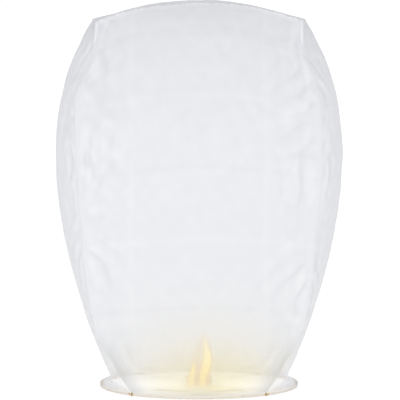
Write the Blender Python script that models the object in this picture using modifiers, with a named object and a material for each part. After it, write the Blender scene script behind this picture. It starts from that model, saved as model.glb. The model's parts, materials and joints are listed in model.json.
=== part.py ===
"""A paper sky lantern, standing on its mouth. Metres, +Z up, origin on the floor under the hoop's centre.

Four tapered gores and a square crown of thin paper make the envelope. Its lower edge is turned round a
split-bamboo hoop. Two iron wires cross the mouth and carry a fuel cell of waxed layers on an upright tie.
"""

import math

import bmesh
import bpy
from mathutils import Matrix, Vector

MM = 0.001

# Driving dimensions
PAPER = 0.2 * MM  # thickness of every paper sheet
GAP = 0.3 * MM  # clearance between pieces that touch
MOUTH_RADIUS = 190 * MM  # outer face of the hem
HEM_HEIGHT = 6.8 * MM
HEM_INNER_HEIGHT = 6.2 * MM
HEM_FOLD = 0.4 * MM  # bevel of the hem's two folds
HOOP_HEIGHT = 4.2 * MM
HOOP_THICKNESS = 2.6 * MM
HOOP_CLEARANCE = 0.9 * MM  # room inside the hem, which the splice tape fits
TAPE = 0.25 * MM
TAPE_WIDTH = 10 * MM
SPLICE_LENGTH = 60 * MM
SCARF_TIP = 0.8 * MM  # thickness of the strip at each scarfed end
NOTCH_WIDTH = 14 * MM  # bare hoop between two hems, where a wire is tied
WIRE_RADIUS = 0.45 * MM
WIRE_COIL_TURNS = 4
WIRE_COIL_PITCH = 1.25 * MM
TIE_RADIUS = 0.4 * MM
TIE_SPREAD = 2.2 * MM
TIE_PROUD = 8 * MM  # the prongs' length above the fuel cell
FUEL_SIDE = 50 * MM
FUEL_CORNER = 3 * MM
FUEL_LAYERS = 5
FUEL_LAYER = 1.8 * MM
FUEL_HOLE = 4 * MM  # radius
FLAP = 8 * MM  # the crown's glue flap
SEAM_SETBACK = 0.8 * MM  # from a gore's edge to the seam line
SEAM_LANDING = 40.4  # degrees from the front's middle to the front seams, at the hoop

# The envelope's outer surface, as (half-width, height) up the middle of a gore
MIDLINE = [
    (190.0, 7.6), (181.0, 10.6), (170.5, 18.0), (174.5, 34.0), (185.0, 58.0), (208.0, 120.0),
    (229.0, 182.0), (246.5, 243.0), (259.8, 305.0), (270.0, 367.0), (274.0, 428.0), (273.0, 473.0),
    (265.5, 533.0), (251.5, 593.0), (234.8, 645.0), (222.0, 675.0), (211.0, 694.0), (203.4, 703.7),
]
# The seam above the hoop, as (distance from each middle plane, height)
SEAM = [
    (142.5, 34.0), (157.5, 66.0), (174.5, 98.0), (187.0, 134.0), (197.0, 193.0), (206.5, 297.0),
    (213.5, 394.0), (216.5, 483.0), (213.0, 538.0), (204.5, 571.0), (193.5, 606.0), (186.8, 640.0),
    (184.4, 675.2),
]
CROWN_CORNER = (185.2, 676.0)  # distance from each middle plane, height
CROWN_EDGE = (204.4, 704.6)  # the same at the middle of an edge
CROWN_HEIGHT = 731.0

GORE_COLUMNS = 10
GORE_ROWS = 24
CROWN_CELLS = 12
DEGREES_PER_STEP = 5
SCARF_STEPS = 6

HOOP_OUTER = MOUTH_RADIUS - PAPER - HOOP_CLEARANCE
HOOP_INNER = HOOP_OUTER - HOOP_THICKNESS
HOOP_BOTTOM = PAPER + HOOP_CLEARANCE
HOOP_TOP = HOOP_BOTTOM + HOOP_HEIGHT
WIRE_LEVEL = (HOOP_BOTTOM + HOOP_TOP) / 2
WIRE_AZIMUTH = 90 - SEAM_LANDING
CROSSING_RISE = 2 * WIRE_RADIUS + 1.15 * GAP
FUEL_BOTTOM = WIRE_LEVEL + CROSSING_RISE + WIRE_RADIUS + GAP
FUEL_TOP = FUEL_BOTTOM + FUEL_LAYERS * (FUEL_LAYER + GAP) - GAP

SIDES = ("front", "right", "back", "left")


def curve_through(points):
    """A function of 0 to 1 along a smooth curve through the points, by distance between them."""
    points = [Vector(p) for p in points]
    stops = [0.0]
    for here, there in zip(points, points[1:]):
        stops.append(stops[-1] + (there - here).length)
    last = len(points) - 1

    def slope(i):
        a, b = max(i - 1, 0), min(i + 1, last)
        return (points[b] - points[a]) / (stops[b] - stops[a])

    def at(share):
        s = min(max(share, 0.0), 1.0) * stops[-1]
        i = max(k for k in range(last) if stops[k] <= s)
        span = stops[i + 1] - stops[i]
        t = (s - stops[i]) / span
        return (
            points[i] * (2 * t**3 - 3 * t**2 + 1)
            + slope(i) * span * (t**3 - 2 * t**2 + t)
            + points[i + 1] * (3 * t**2 - 2 * t**3)
            + slope(i + 1) * span * (t**3 - t**2)
        )

    at.length = stops[-1]
    return at


def turned(points, degrees):
    turn = Matrix.Rotation(math.radians(degrees), 4, "Z")
    return [turn @ Vector(p) for p in points]


def polar(radius, degrees, height):
    """A point at an angle from the front's middle, which faces -Y; positive angles go towards +X."""
    angle = math.radians(degrees)
    return Vector((radius * math.sin(angle), -radius * math.cos(angle), height))


def landing(side):
    """Degrees from the middle of a side to its seams, at the hoop."""
    return SEAM_LANDING if side in ("front", "back") else 90 - SEAM_LANDING


def gore_surface(side):
    """A function of (across, up) on a gore that faces -Y: across is -1 to 1 between its seams, up is 0 to 1."""
    start = polar(MOUTH_RADIUS, landing(side), MIDLINE[0][1] * MM)
    seam = [(start.x, -start.y, start.z)] + [(d * MM, d * MM, z * MM) for d, z in SEAM]
    seam_at = curve_through(seam)
    midline_at = curve_through([(0, r * MM, z * MM) for r, z in MIDLINE])

    def at(across, up):
        edge, middle = seam_at(up), midline_at(up)
        bulge = middle.y - edge.y
        half_arc = 2 * math.atan2(bulge, edge.x)
        angle = half_arc * across
        x = edge.x * math.sin(angle) / math.sin(half_arc)
        y = edge.y + bulge * (math.cos(angle) - math.cos(half_arc)) / (1 - math.cos(half_arc))
        z = middle.z + (edge.z - middle.z) * across**2
        return Vector((x, -y, z))

    at.half_width = lambda up: seam_at(up).x
    at.length = midline_at.length
    return at


def outward(surface, across, up):
    """The outward unit normal of a gore's surface."""
    step = 0.002
    along = surface(across + step, up) - surface(across - step, up)
    rise = surface(across, min(up + step, 1.0)) - surface(across, up - step)
    return along.cross(rise).normalized()


def finish(obj, material, collection):
    collection.objects.link(obj)
    obj.data.materials.append(material)
    return obj


def surface_object(name, quads, material, collection, thickness, loose=1e-7):
    """An open surface from quads of points, as one mesh, with its thickness on the inside."""
    mesh = bpy.data.meshes.new(name)
    shape = bmesh.new()
    for corners in quads:
        shape.faces.new([shape.verts.new(p) for p in corners])
    bmesh.ops.remove_doubles(shape, verts=shape.verts, dist=loose)
    shape.to_mesh(mesh)
    shape.free()
    mesh.shade_smooth()
    obj = finish(bpy.data.objects.new(name, mesh), material, collection)
    solidify = obj.modifiers.new("paper", "SOLIDIFY")
    solidify.thickness = thickness
    solidify.offset = -1
    solidify.use_even_offset = True
    return obj


def quads_of(rows):
    """The quads between neighbouring rows of points."""
    return [
        (low[i], low[i + 1], high[i + 1], high[i])
        for low, high in zip(rows, rows[1:])
        for i in range(len(low) - 1)
    ]


def bar_object(name, sections, material, collection):
    """A closed bar lofted through sections of four points each."""
    mesh = bpy.data.meshes.new(name)
    shape = bmesh.new()
    rings = [[shape.verts.new(p) for p in section] for section in sections]
    for here, there in zip(rings, rings[1:]):
        for i in range(4):
            j = (i + 1) % 4
            shape.faces.new((here[i], here[j], there[j], there[i]))
    shape.faces.new(rings[0][::-1])
    shape.faces.new(rings[-1])
    bmesh.ops.recalc_face_normals(shape, faces=shape.faces)
    shape.to_mesh(mesh)
    shape.free()
    return finish(bpy.data.objects.new(name, mesh), material, collection)


def wire_object(name, points, radius, material, collection):
    """A round wire along points, with flat ends."""
    data = bpy.data.curves.new(name, "CURVE")
    data.dimensions = "3D"
    data.bevel_depth = radius
    data.bevel_resolution = 2
    data.use_fill_caps = True
    spline = data.splines.new("POLY")
    spline.points.add(len(points) - 1)
    for slot, point in zip(spline.points, points):
        slot.co = (*point, 1)
    return finish(bpy.data.objects.new(name, data), material, collection)


def row_shares(count):
    """Shares of 0 to 1, closer together at both ends, where the paper bends most."""
    ease = 0.75
    shares = [k / count for k in range(count + 1)]
    return [ease * t * t * (3 - 2 * t) + (1 - ease) * t for t in shares]


def make_gore(side, turn, material, collection):
    surface = gore_surface(side)
    rows = []
    for up in row_shares(GORE_ROWS):
        reach = 1 - SEAM_SETBACK / surface.half_width(up)
        across = [reach * (2 * i / GORE_COLUMNS - 1) for i in range(GORE_COLUMNS + 1)]
        rows.append(turned([surface(a, up) for a in across], turn))
    surface_object(f"gore_{side}", quads_of(rows), material, collection, PAPER)


def crown_point(u, w):
    """A point of the crown's top; u and w are -1 to 1 across it. Its edges bow out and its middle rises."""
    bow = CROWN_EDGE[0] - CROWN_CORNER[0]
    lift = CROWN_EDGE[1] - CROWN_CORNER[1]
    dome = CROWN_HEIGHT - CROWN_CORNER[1] - 2 * lift
    x = u * (CROWN_CORNER[0] + bow * (1 - w * w))
    y = w * (CROWN_CORNER[0] + bow * (1 - u * u))
    z = CROWN_CORNER[1] + lift * (2 - u * u - w * w) + dome * (1 - u * u) * (1 - w * w)
    return Vector((x, y, z)) * MM


def make_crown(material, collection):
    """The square sheet, with a glue flap turned down outside each gore and notched at the corners."""
    shares = [2 * i / CROWN_CELLS - 1 for i in range(CROWN_CELLS + 1)]
    quads = quads_of([[crown_point(u, w) for u in shares] for w in shares])
    for side, turn in zip(SIDES, (0, 90, 180, 270)):
        surface = gore_surface(side)
        up = 1 - FLAP / surface.length
        inner = shares[1:-1]
        fold = [crown_point(u, -1) for u in inner]
        stand_off = PAPER + GAP
        hanging = [surface(u, up) + outward(surface, u, up) * stand_off for u in inner]
        quads += quads_of([turned(hanging, turn), turned(fold, turn)])
    surface_object("crown_panel", quads, material, collection, PAPER, loose=1e-6)


def make_hem(side, turn, material, collection):
    """The sheet's lower edge, folded down the outside of the hoop, under it and up its inside."""
    inner = HOOP_INNER - HOOP_CLEARANCE - PAPER
    profile = [
        (inner, HEM_INNER_HEIGHT),
        (inner, HEM_FOLD),
        (inner + HEM_FOLD, 0),
        (MOUTH_RADIUS - HEM_FOLD, 0),
        (MOUTH_RADIUS, HEM_FOLD),
        (MOUTH_RADIUS, HEM_HEIGHT),
    ]
    reach = landing(side) - math.degrees(NOTCH_WIDTH / 2 / MOUTH_RADIUS)
    steps = 2 * round(reach / DEGREES_PER_STEP)
    angles = [reach * (2 * i / steps - 1) for i in range(steps + 1)]
    rows = [turned([polar(r, a, z) for a in angles], turn) for r, z in profile]
    surface_object(f"hem_{side}", quads_of(rows), material, collection, PAPER)


def hoop_section(degrees, inner, outer, bottom=HOOP_BOTTOM, top=HOOP_TOP):
    corners = ((inner, bottom), (outer, bottom), (outer, top), (inner, top))
    return [polar(r, degrees, z) for r, z in corners]


def make_hoop(material, collection):
    """One bamboo strip bent round and scarfed at the back: the first end lies outside the last."""
    splice = math.degrees(SPLICE_LENGTH / HOOP_OUTER)
    start = 180 - splice / 2
    far_tip = HOOP_THICKNESS - SCARF_TIP - GAP  # thickness of the first end where the last one stops
    tick = 0.02
    shares = [i / SCARF_STEPS for i in range(SCARF_STEPS + 1)]
    sections = []
    for share in shares:
        depth = SCARF_TIP + (far_tip - SCARF_TIP) * share
        sections.append(hoop_section(start + splice * share, HOOP_OUTER - depth, HOOP_OUTER))
    full = 360 - splice
    steps = round(full / DEGREES_PER_STEP)
    for i in range(steps + 1):
        # the full strip begins and ends a tick away from each scarf tip
        angle = start + splice + 10 * tick + (full - 20 * tick) * i / steps
        sections.append(hoop_section(angle, HOOP_INNER, HOOP_OUTER))
    for share in shares:
        depth = SCARF_TIP + (far_tip - SCARF_TIP) * share + GAP
        angle = start + 360 + splice * share - tick
        sections.append(hoop_section(angle, HOOP_INNER, HOOP_OUTER - depth))
    bar_object("bamboo_hoop", sections, material, collection)


def make_splice_tape(number, degrees, material, collection):
    """A band of tape round the strip's scarf joint."""
    inner, outer = HOOP_INNER - GAP - TAPE, HOOP_OUTER + GAP + TAPE
    bottom, top = HOOP_BOTTOM - GAP - TAPE, HOOP_TOP + GAP + TAPE
    half = math.degrees(TAPE_WIDTH / 2 / HOOP_OUTER)
    rings = [hoop_section(degrees + turn, inner, outer, bottom, top) for turn in (-half, 0, half)]
    rings = [ring + ring[:1] for ring in rings]
    surface_object(f"splice_tape_{number}", quads_of(rings[::-1]), material, collection, TAPE)


def wire_end():
    """Half of a cross wire, from near the middle along +X: over the hoop, round it, and coiled on itself."""
    reach = WIRE_RADIUS + GAP
    near, far = HOOP_INNER - reach, HOOP_OUTER + reach
    low, high = HOOP_BOTTOM - reach, HOOP_TOP + reach
    bend = 0.7 * MM
    coil_radius = 2 * WIRE_RADIUS + 0.2 * MM
    coil_start = near - 2 * MM
    loop = [
        (coil_start + 0.2 * MM, WIRE_LEVEL),
        (near - 0.5 * MM, WIRE_LEVEL + 0.8 * MM),
        (near, WIRE_LEVEL + 1.7 * MM),
        (near, high - bend),
        (near + bend, high),
        (far - bend, high),
        (far, high - bend),
        (far, low + bend),
        (far - bend, low),
        (near + bend, low),
        (near, low + bend),
        (near - 0.6 * MM, WIRE_LEVEL - 1.9 * MM),
        (near - 1.3 * MM, WIRE_LEVEL - 1.3 * MM),
    ]
    points = [Vector((x, 0, z)) for x, z in loop]
    per_turn = 9
    for i in range(WIRE_COIL_TURNS * per_turn + 1):
        angle = -math.pi / 2 + 2 * math.pi * i / per_turn
        x = coil_start - WIRE_COIL_PITCH * i / per_turn
        y, z = coil_radius * math.cos(angle), coil_radius * math.sin(angle)
        points.append(Vector((x, y, WIRE_LEVEL + z)))
    return points


def make_cross_wire(name, azimuth, rise, material, collection):
    """One wire from hoop to hoop; rise lifts its middle over the other wire."""
    end = wire_end()
    middle = [
        Vector((x * MM, 0, WIRE_LEVEL + rise * share))
        for x, share in ((-8, 0), (-4, 0.35), (-1.6, 1), (1.6, 1), (4, 0.35), (8, 0))
    ]
    points = turned(end[::-1], 180) + middle + end
    wire_object(name, turned(points, azimuth), WIRE_RADIUS, material, collection)


def make_fuel_tie(material, collection):
    """A hairpin of wire under the crossing, whose two prongs stand up through the fuel cell."""
    bottom = WIRE_LEVEL - WIRE_RADIUS - 2 * GAP - TIE_RADIUS
    tip = FUEL_TOP + TIE_PROUD
    half = [(TIE_SPREAD - 0.9 * MM, bottom), (TIE_SPREAD, bottom + 0.9 * MM), (TIE_SPREAD, tip)]
    points = [Vector((-x, 0, z)) for x, z in half[::-1]] + [Vector((x, 0, z)) for x, z in half]
    wire_object("fuel_tie", points, TIE_RADIUS, material, collection)


def make_fuel_layer(number, material, collection):
    """A rounded square of waxed sheet with a hole in the middle, set by hand a little askew."""
    data = bpy.data.curves.new(f"fuel_layer_{number}", "CURVE")
    data.dimensions = "2D"
    data.fill_mode = "BOTH"
    data.extrude = FUEL_LAYER / 2
    centre = FUEL_SIDE / 2 - FUEL_CORNER
    outline = []
    for quarter in range(4):
        for step in range(4):
            angle = math.radians(90 * quarter + 30 * step)
            corner = math.radians(90 * quarter + 45)
            x = centre * math.sqrt(2) * math.cos(corner) + FUEL_CORNER * math.cos(angle)
            y = centre * math.sqrt(2) * math.sin(corner) + FUEL_CORNER * math.sin(angle)
            outline.append((x, y))
    hole = [
        (FUEL_HOLE * math.cos(math.radians(22.5 * i)), FUEL_HOLE * math.sin(math.radians(22.5 * i)))
        for i in range(16)
    ]
    for ring in (outline, hole):
        spline = data.splines.new("POLY")
        spline.points.add(len(ring) - 1)
        for slot, (x, y) in zip(spline.points, ring):
            slot.co = (x, y, 0, 1)
        spline.use_cyclic_u = True
    layer = finish(bpy.data.objects.new(f"fuel_layer_{number}", data), material, collection)
    layer.location.z = FUEL_BOTTOM + FUEL_LAYER / 2 + (number - 1) * (FUEL_LAYER + GAP)
    layer.rotation_euler.z = math.radians(1.2 * math.sin(2.1 * number))


def make_material(name, colour, roughness, metallic=0.0):
    material = bpy.data.materials.new(name)
    material.use_nodes = True
    shader = material.node_tree.nodes["Principled BSDF"]
    shader.inputs["Base Color"].default_value = (*colour, 1)
    shader.inputs["Roughness"].default_value = roughness
    shader.inputs["Metallic"].default_value = metallic
    return material


def main():
    for obj in list(bpy.data.objects):
        bpy.data.objects.remove(obj, do_unlink=True)
    lantern = bpy.data.collections.new("sky_lantern")
    bpy.context.scene.collection.children.link(lantern)

    paper = make_material("white_tissue_paper", (0.86, 0.87, 0.89), 0.85)
    bamboo = make_material("split_bamboo", (0.62, 0.47, 0.26), 0.6)
    tape = make_material("paper_tape", (0.72, 0.66, 0.52), 0.7)
    iron = make_material("annealed_iron_wire", (0.35, 0.34, 0.33), 0.45, 1.0)
    wax = make_material("waxed_layers", (0.78, 0.62, 0.36), 0.5)

    for side, turn in zip(SIDES, (0, 90, 180, 270)):
        make_gore(side, turn, paper, lantern)
        make_hem(side, turn, paper, lantern)
    make_crown(paper, lantern)
    make_hoop(bamboo, lantern)
    for number, offset in ((1, -5.5), (2, 5.5)):
        make_splice_tape(number, 180 + offset, tape, lantern)
    make_cross_wire("cross_wire_lower", WIRE_AZIMUTH, 0, iron, lantern)
    make_cross_wire("cross_wire_upper", -WIRE_AZIMUTH, CROSSING_RISE, iron, lantern)
    make_fuel_tie(iron, lantern)
    for number in range(1, FUEL_LAYERS + 1):
        make_fuel_layer(number, wax, lantern)


main()
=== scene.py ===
import json
import math

import bmesh
import bpy
import numpy as np
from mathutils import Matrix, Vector

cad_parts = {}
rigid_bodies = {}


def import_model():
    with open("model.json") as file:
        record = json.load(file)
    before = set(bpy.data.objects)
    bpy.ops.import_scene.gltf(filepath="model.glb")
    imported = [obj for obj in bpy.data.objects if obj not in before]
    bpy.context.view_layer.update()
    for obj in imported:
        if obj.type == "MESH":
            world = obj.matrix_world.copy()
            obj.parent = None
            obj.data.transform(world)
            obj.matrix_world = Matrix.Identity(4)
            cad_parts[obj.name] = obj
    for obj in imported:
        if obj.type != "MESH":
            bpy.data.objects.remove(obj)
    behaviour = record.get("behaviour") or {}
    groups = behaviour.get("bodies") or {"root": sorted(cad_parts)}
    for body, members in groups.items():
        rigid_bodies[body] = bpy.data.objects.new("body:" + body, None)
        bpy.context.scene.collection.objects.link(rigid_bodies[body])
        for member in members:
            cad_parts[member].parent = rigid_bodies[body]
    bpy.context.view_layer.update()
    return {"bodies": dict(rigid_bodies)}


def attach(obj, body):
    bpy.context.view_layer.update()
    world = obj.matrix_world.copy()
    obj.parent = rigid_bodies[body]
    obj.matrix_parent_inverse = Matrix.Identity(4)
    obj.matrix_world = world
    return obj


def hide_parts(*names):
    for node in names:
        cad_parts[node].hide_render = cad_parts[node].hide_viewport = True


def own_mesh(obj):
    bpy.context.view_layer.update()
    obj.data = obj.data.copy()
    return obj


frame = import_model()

MM = 0.001

# The envelope's shape, in millimetres, as the frame has it.
MOUTH_RADIUS = 190.0
# Up the middle of every gore: distance from the axis, height.
MIDLINE = [
    (190.0, 7.6), (181.0, 10.6), (170.5, 18.0), (174.5, 34.0), (185.0, 58.0), (208.0, 120.0),
    (229.0, 182.0), (246.5, 243.0), (259.8, 305.0), (270.0, 367.0), (274.0, 428.0), (273.0, 473.0),
    (265.5, 533.0), (251.5, 593.0), (234.8, 645.0), (222.0, 675.0), (211.0, 694.0), (203.4, 703.7),
]
# Up every seam: distance from both middle planes, height.
SEAM = [
    (142.5, 34.0), (157.5, 66.0), (174.5, 98.0), (187.0, 134.0), (197.0, 193.0), (206.5, 297.0),
    (213.5, 394.0), (216.5, 483.0), (213.0, 538.0), (204.5, 571.0), (193.5, 606.0), (186.8, 640.0),
    (184.4, 675.2),
]
SEAM_LANDING = 40.4  # degrees from the front's middle to its seams, at the hoop
CROWN_CORNER = (185.2, 676.0)  # distance from both middle planes, height
CROWN_EDGE = (204.4, 704.6)  # the same at the middle of an edge
CROWN_HEIGHT = 731.0
SIDES = ("front", "right", "back", "left")
BASE = 7.6  # height at which the gores leave the hoop
LAP = 9.0  # how far a side gore runs on under its neighbour
FLAP = 8.0  # how far the crown is turned down over the gores
HEM_FLAP = 22.0  # the turned-up lower edge, at its tallest
SHEET = 0.5  # drawn distance between two sheets that are glued together

# The hoop and what hangs in it.
HOOP_OUTER, HOOP_INNER = 188.9, 186.3
HOOP_BOTTOM, HOOP_TOP = 1.1, 5.3
HOOP_MIDDLE = (HOOP_BOTTOM + HOOP_TOP) / 2
SPLICE_LENGTH = 60.0
WIRE_AZIMUTH = 90 - SEAM_LANDING  # the cross wires run from seam to seam
WIRE = 0.45  # radius of the cross wires
COIL_TURNS = 4  # of a cross wire's end round itself
TIE = 0.4  # radius of the hairpin's wire
TAPE_WALL = 0.55  # thickness of the wound tape
GAP = 0.3  # between pieces that lie on each other
WIRE_RISE = 2 * WIRE + 1.15 * GAP  # of the upper cross wire's middle over the lower one
FUEL_SIDE = 50.0
FUEL_HOLE = 4.2  # radius of the hole that the hairpin goes up through
FUEL_LAYER = 1.8
FUEL_LAYERS = 5
FUEL_STEP = FUEL_LAYER + GAP
FUEL_BOTTOM = HOOP_MIDDLE + WIRE_RISE + WIRE + GAP
FUEL_TOP = FUEL_BOTTOM + FUEL_LAYERS * FUEL_STEP - GAP
FLAME_HEART = np.array([12.0, 0.0, 55.0])  # where its light comes from

# Details of the paper pieces.
GORE_ROWS, GORE_COLUMNS = 216, 127
LAP_SHARES = np.array([1.0, 0.66, 0.33])  # of the lap's width, from its cut edge to the seam
CROWN_COUNT = 105
FLAP_LAYERS = [0.15, 0.15, 0.2, 0.6, 1.0]  # how doubled the flap looks, from its cut edge to the fold
SIDE_GORES = ("right", "left")  # their edges run on under the front's and the back's


def smooth(low, high, value):
    """Rises from 0 at low to 1 at high, level at both ends."""
    t = np.clip((value - low) / (high - low), 0, 1)
    return t * t * (3 - 2 * t)


def hills(p, size, seed, waves=14):
    """A smooth random field: a sum of sine waves about size long, each in a random direction."""
    draw = np.random.default_rng(seed)
    way = draw.normal(size=(waves, 3))
    way /= np.linalg.norm(way, axis=1, keepdims=True)
    length = size * draw.uniform(0.7, 1.5, waves)
    start = draw.uniform(0, 2 * math.pi, waves)
    total = np.zeros(p.shape[:-1])
    for d, l, s in zip(way, length, start):
        total += np.sin(p @ d * (2 * math.pi / l) + s)
    return total * math.sqrt(2 / waves)


def facets(p, size, seed, families=7):
    """Crumple: straight folds at random slants, each a triangle wave that shows only in patches."""
    draw = np.random.default_rng(seed)
    total = np.zeros(p.shape[:-1])
    for k in range(families):
        d = draw.normal(size=3)
        d /= np.linalg.norm(d)
        length = size * draw.uniform(0.6, 1.5)
        bend = 0.12 * hills(p, 4 * size, seed + 11 * k)
        turn = p @ d / length + draw.uniform() + bend
        wave = 2 * np.abs(turn - np.floor(turn + 0.5))
        total += wave * smooth(-0.1, 0.9, hills(p, 2.2 * size, seed + 101 + k)) * length / size
    return total / families - 0.2


def curve_through(points):
    """A function of shares 0 to 1 of a smooth curve's length: cubic pieces between the points, each
    point's slope being that of the line between its neighbours."""
    points = np.array(points, float)
    stops = np.concatenate([[0], np.cumsum(np.linalg.norm(np.diff(points, axis=0), axis=1))])
    ahead = np.minimum(np.arange(len(points)) + 1, len(points) - 1)
    behind = np.maximum(np.arange(len(points)) - 1, 0)
    slopes = (points[ahead] - points[behind]) / (stops[ahead] - stops[behind])[:, None]

    def at(share):
        s = np.clip(share, 0, 1) * stops[-1]
        i = np.clip(np.searchsorted(stops, s, side="right") - 1, 0, len(stops) - 2)
        span = (stops[i + 1] - stops[i])[..., None]
        t = (s - stops[i])[..., None] / span
        return (
            points[i] * (2 * t**3 - 3 * t**2 + 1)
            + slopes[i] * span * (t**3 - 2 * t**2 + t)
            + points[i + 1] * (3 * t**2 - 2 * t**3)
            + slopes[i + 1] * span * (t**3 - t**2)
        )

    at.length = stops[-1]
    return at


def turned(p, degrees):
    """Points turned round the lantern's axis."""
    a = math.radians(degrees)
    turn = np.array([[math.cos(a), -math.sin(a), 0], [math.sin(a), math.cos(a), 0], [0, 0, 1]])
    return p @ turn.T


def polar(radius, degrees, height):
    """Points at an angle from the front's middle, which faces -Y; positive angles go towards +X."""
    a = np.radians(degrees)
    return np.stack(np.broadcast_arrays(radius * np.sin(a), -radius * np.cos(a), height), axis=-1)


def landing(side):
    """Degrees from a gore's middle to its seams, at the hoop."""
    return SEAM_LANDING if side in ("front", "back") else 90 - SEAM_LANDING


def seam_curve(side):
    """The seam from its landing on the hoop up to the crown: distance from the gore's middle plane,
    distance in front of the lantern's, height."""
    x, y, z = polar(MOUTH_RADIUS, landing(side), BASE)
    return curve_through([(x, -y, z)] + [(d, d, height) for d, height in SEAM])


MIDLINE_AT = curve_through(MIDLINE)
GORE_LENGTH = MIDLINE_AT.length
SEAM_AT = {side: seam_curve(side) for side in SIDES}


def gore_arc(side, up):
    """Seam point, middle point and half the angle of the arc between a gore's seams, at each height."""
    edge, middle = SEAM_AT[side](up), MIDLINE_AT(up)
    return edge, middle, 2 * np.arctan2(middle[..., 0] - edge[..., 1], edge[..., 0])


def gore_surface(side, across, up):
    """The gore without wrinkles: at each height an arc through both seams and the middle, which
    climbs from the seams to the middle as a parabola. Across is -1 to 1 and up is 0 to 1."""
    edge, middle, half = gore_arc(side, up)
    angle = half * across
    x = edge[..., 0] * np.sin(angle) / np.sin(half)
    bulge = middle[..., 0] - edge[..., 1]
    y = edge[..., 1] + bulge * (np.cos(angle) - np.cos(half)) / (1 - np.cos(half))
    z = middle[..., 1] + (edge[..., 2] - middle[..., 1]) * across**2
    return turned(np.stack([x, -y, z], axis=-1), 90 * SIDES.index(side))


def half_width(side, up):
    """Length of the paper from a gore's middle to its seam, at each height."""
    edge, _, half = gore_arc(side, up)
    return edge[..., 0] / np.sin(half) * half


def outward(p):
    """Unit vectors away from the lantern's inside: an ellipsoid's normals."""
    d = (p - np.array([0, 0, 390.0])) / np.array([270.0, 270.0, 380.0]) ** 2
    return d / np.linalg.norm(d, axis=-1, keepdims=True)


def settled(p):
    """Lets the top edges of the side gores hang 12 mm lower and draw in by 1.5 mm half way between
    their middle and the corners: a parabola in w, fading as u squared towards the middle plane."""
    u, w = np.minimum(np.abs(p[..., 0]) / 200, 1), np.minimum(np.abs(p[..., 1]) / MOUTH_RADIUS, 1)
    sag = 4 * w * (1 - w) * u**2 * smooth(600, 705, p[..., 2])
    low = p.copy()
    low[..., 2] -= 12 * sag
    low[..., 0] -= 1.5 * sag * u**2 * np.sign(p[..., 0])
    return low


def relief(p):
    """Height of the wrinkles that run over the whole envelope: soft swells, crumple in patches, fine
    crinkle, and gathers that run upwards near the corners. Each is a height in millimetres times a
    random field of a size in millimetres, and all are stronger where the paper is slack: near the
    corners and at the shoulders."""
    near_side = smooth(110, 200, np.abs(p[..., 0])) + smooth(110, 200, np.abs(p[..., 1])) - 1
    corner = np.clip(near_side, 0, 1)
    shoulder = smooth(330, 470, p[..., 2]) * (1 - 0.7 * smooth(690, 715, p[..., 2]))
    slack = 0.2 + 0.45 * corner + 0.5 * shoulder * (0.35 + 0.65 * corner)
    swell = 1.1 * hills(p, 120, 3)
    crumple = 7.0 * facets(p, 46, 7)
    crinkle = 0.7 * facets(p, 17, 29)
    drawn = 1 - np.abs(hills(p * np.array([1, 1, 0.4]), 46, 51))
    gathers = 1.8 * np.clip(drawn, -0.4, 1) * smooth(0, 0.9, hills(p, 150, 61)) * corner
    return slack * (swell + crumple + crinkle + gathers)


def creases(side, across, up):
    """Height of the folds left from packing, each a sharp ridge or valley that dies away as an
    exponential in about 16 mm: across every gore at every 126 mm, drifting a little, and along it.
    The side gores were tucked in, folded in half, which leaves a valley up their middle."""
    along = up * GORE_LENGTH
    aside = across * half_width(side, up)
    drift = 2.5 * np.sin(aside / 90 + 1.0)
    total = np.zeros(np.shape(along))
    for number, height in enumerate(range(52, 700, 126)):
        total = total + 0.7 * (-1) ** number * np.exp(-np.abs(along - height - drift) / 17)
    for middle in (-118, 118):
        total = total + 0.65 * np.exp(-np.abs(aside - middle - 2 * np.sin(along / 60)) / 15)
    if side in SIDE_GORES:
        total = total - 1.8 * np.exp(-np.abs(aside - 1.5 * np.sin(along / 70)) / 16)
    return total * smooth(30, 70, along)


def puckers(side, across, up):
    """Height of the gathers beside the glued seams, the same on both sides of a seam: a sine wave
    aslant to it without its sign, which gives rounded ridges with sharp valleys. They come in
    groups and die away as an exponential in 38 mm. Low down, where a wide gore meets the small
    hoop, they turn into pleats that run along the seam, 11 mm apart."""
    along = up * GORE_LENGTH
    to_seam = (1 - np.abs(across)) * half_width(side, up)
    seam = (SIDES.index(side) + np.where(across > 0, 0, -1)) % 4
    wander = 1.1 * np.sin(along / 47 + 2.1 * seam) + 0.6 * np.sin(along / 19.3 + seam)
    ridge = np.abs(np.sin(math.pi * (0.38 * along + to_seam) / 41 + wander)) ** 0.8 - 0.6
    often = smooth(-0.5, 1, np.sin(along / 31 + 1.7 * seam + 0.5))
    gather = 4.0 * ridge * often * np.exp(-to_seam / 38) * smooth(0, 14, to_seam)
    low = 1 - smooth(90, 150, along)
    pleat = np.abs(np.sin(math.pi * to_seam / 11 + 0.4 * np.sin(along / 13 + seam))) - 0.5
    pleats = 1.3 * pleat * np.exp(-to_seam / 22) * smooth(0, 6, to_seam)
    return (gather * (1 - low) + pleats * low) * (1 - smooth(GORE_LENGTH - 22, GORE_LENGTH - 8, along))


def paper_height(side, across, up):
    """Height of all the wrinkles over a gore; there are none where the hoop holds the paper."""
    along = up * GORE_LENGTH
    loose = relief(gore_surface(side, across, up)) * smooth(10, 60, along)
    return (loose + creases(side, across, up) + puckers(side, across, up)) * smooth(4, 30, along)


def paper(side, across, up, lift=0.0):
    """A gore's paper with its wrinkles, raised by lift millimetres."""
    p = gore_surface(side, across, up)
    return settled(p + outward(p) * (paper_height(side, across, up) + lift)[..., None])


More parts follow.
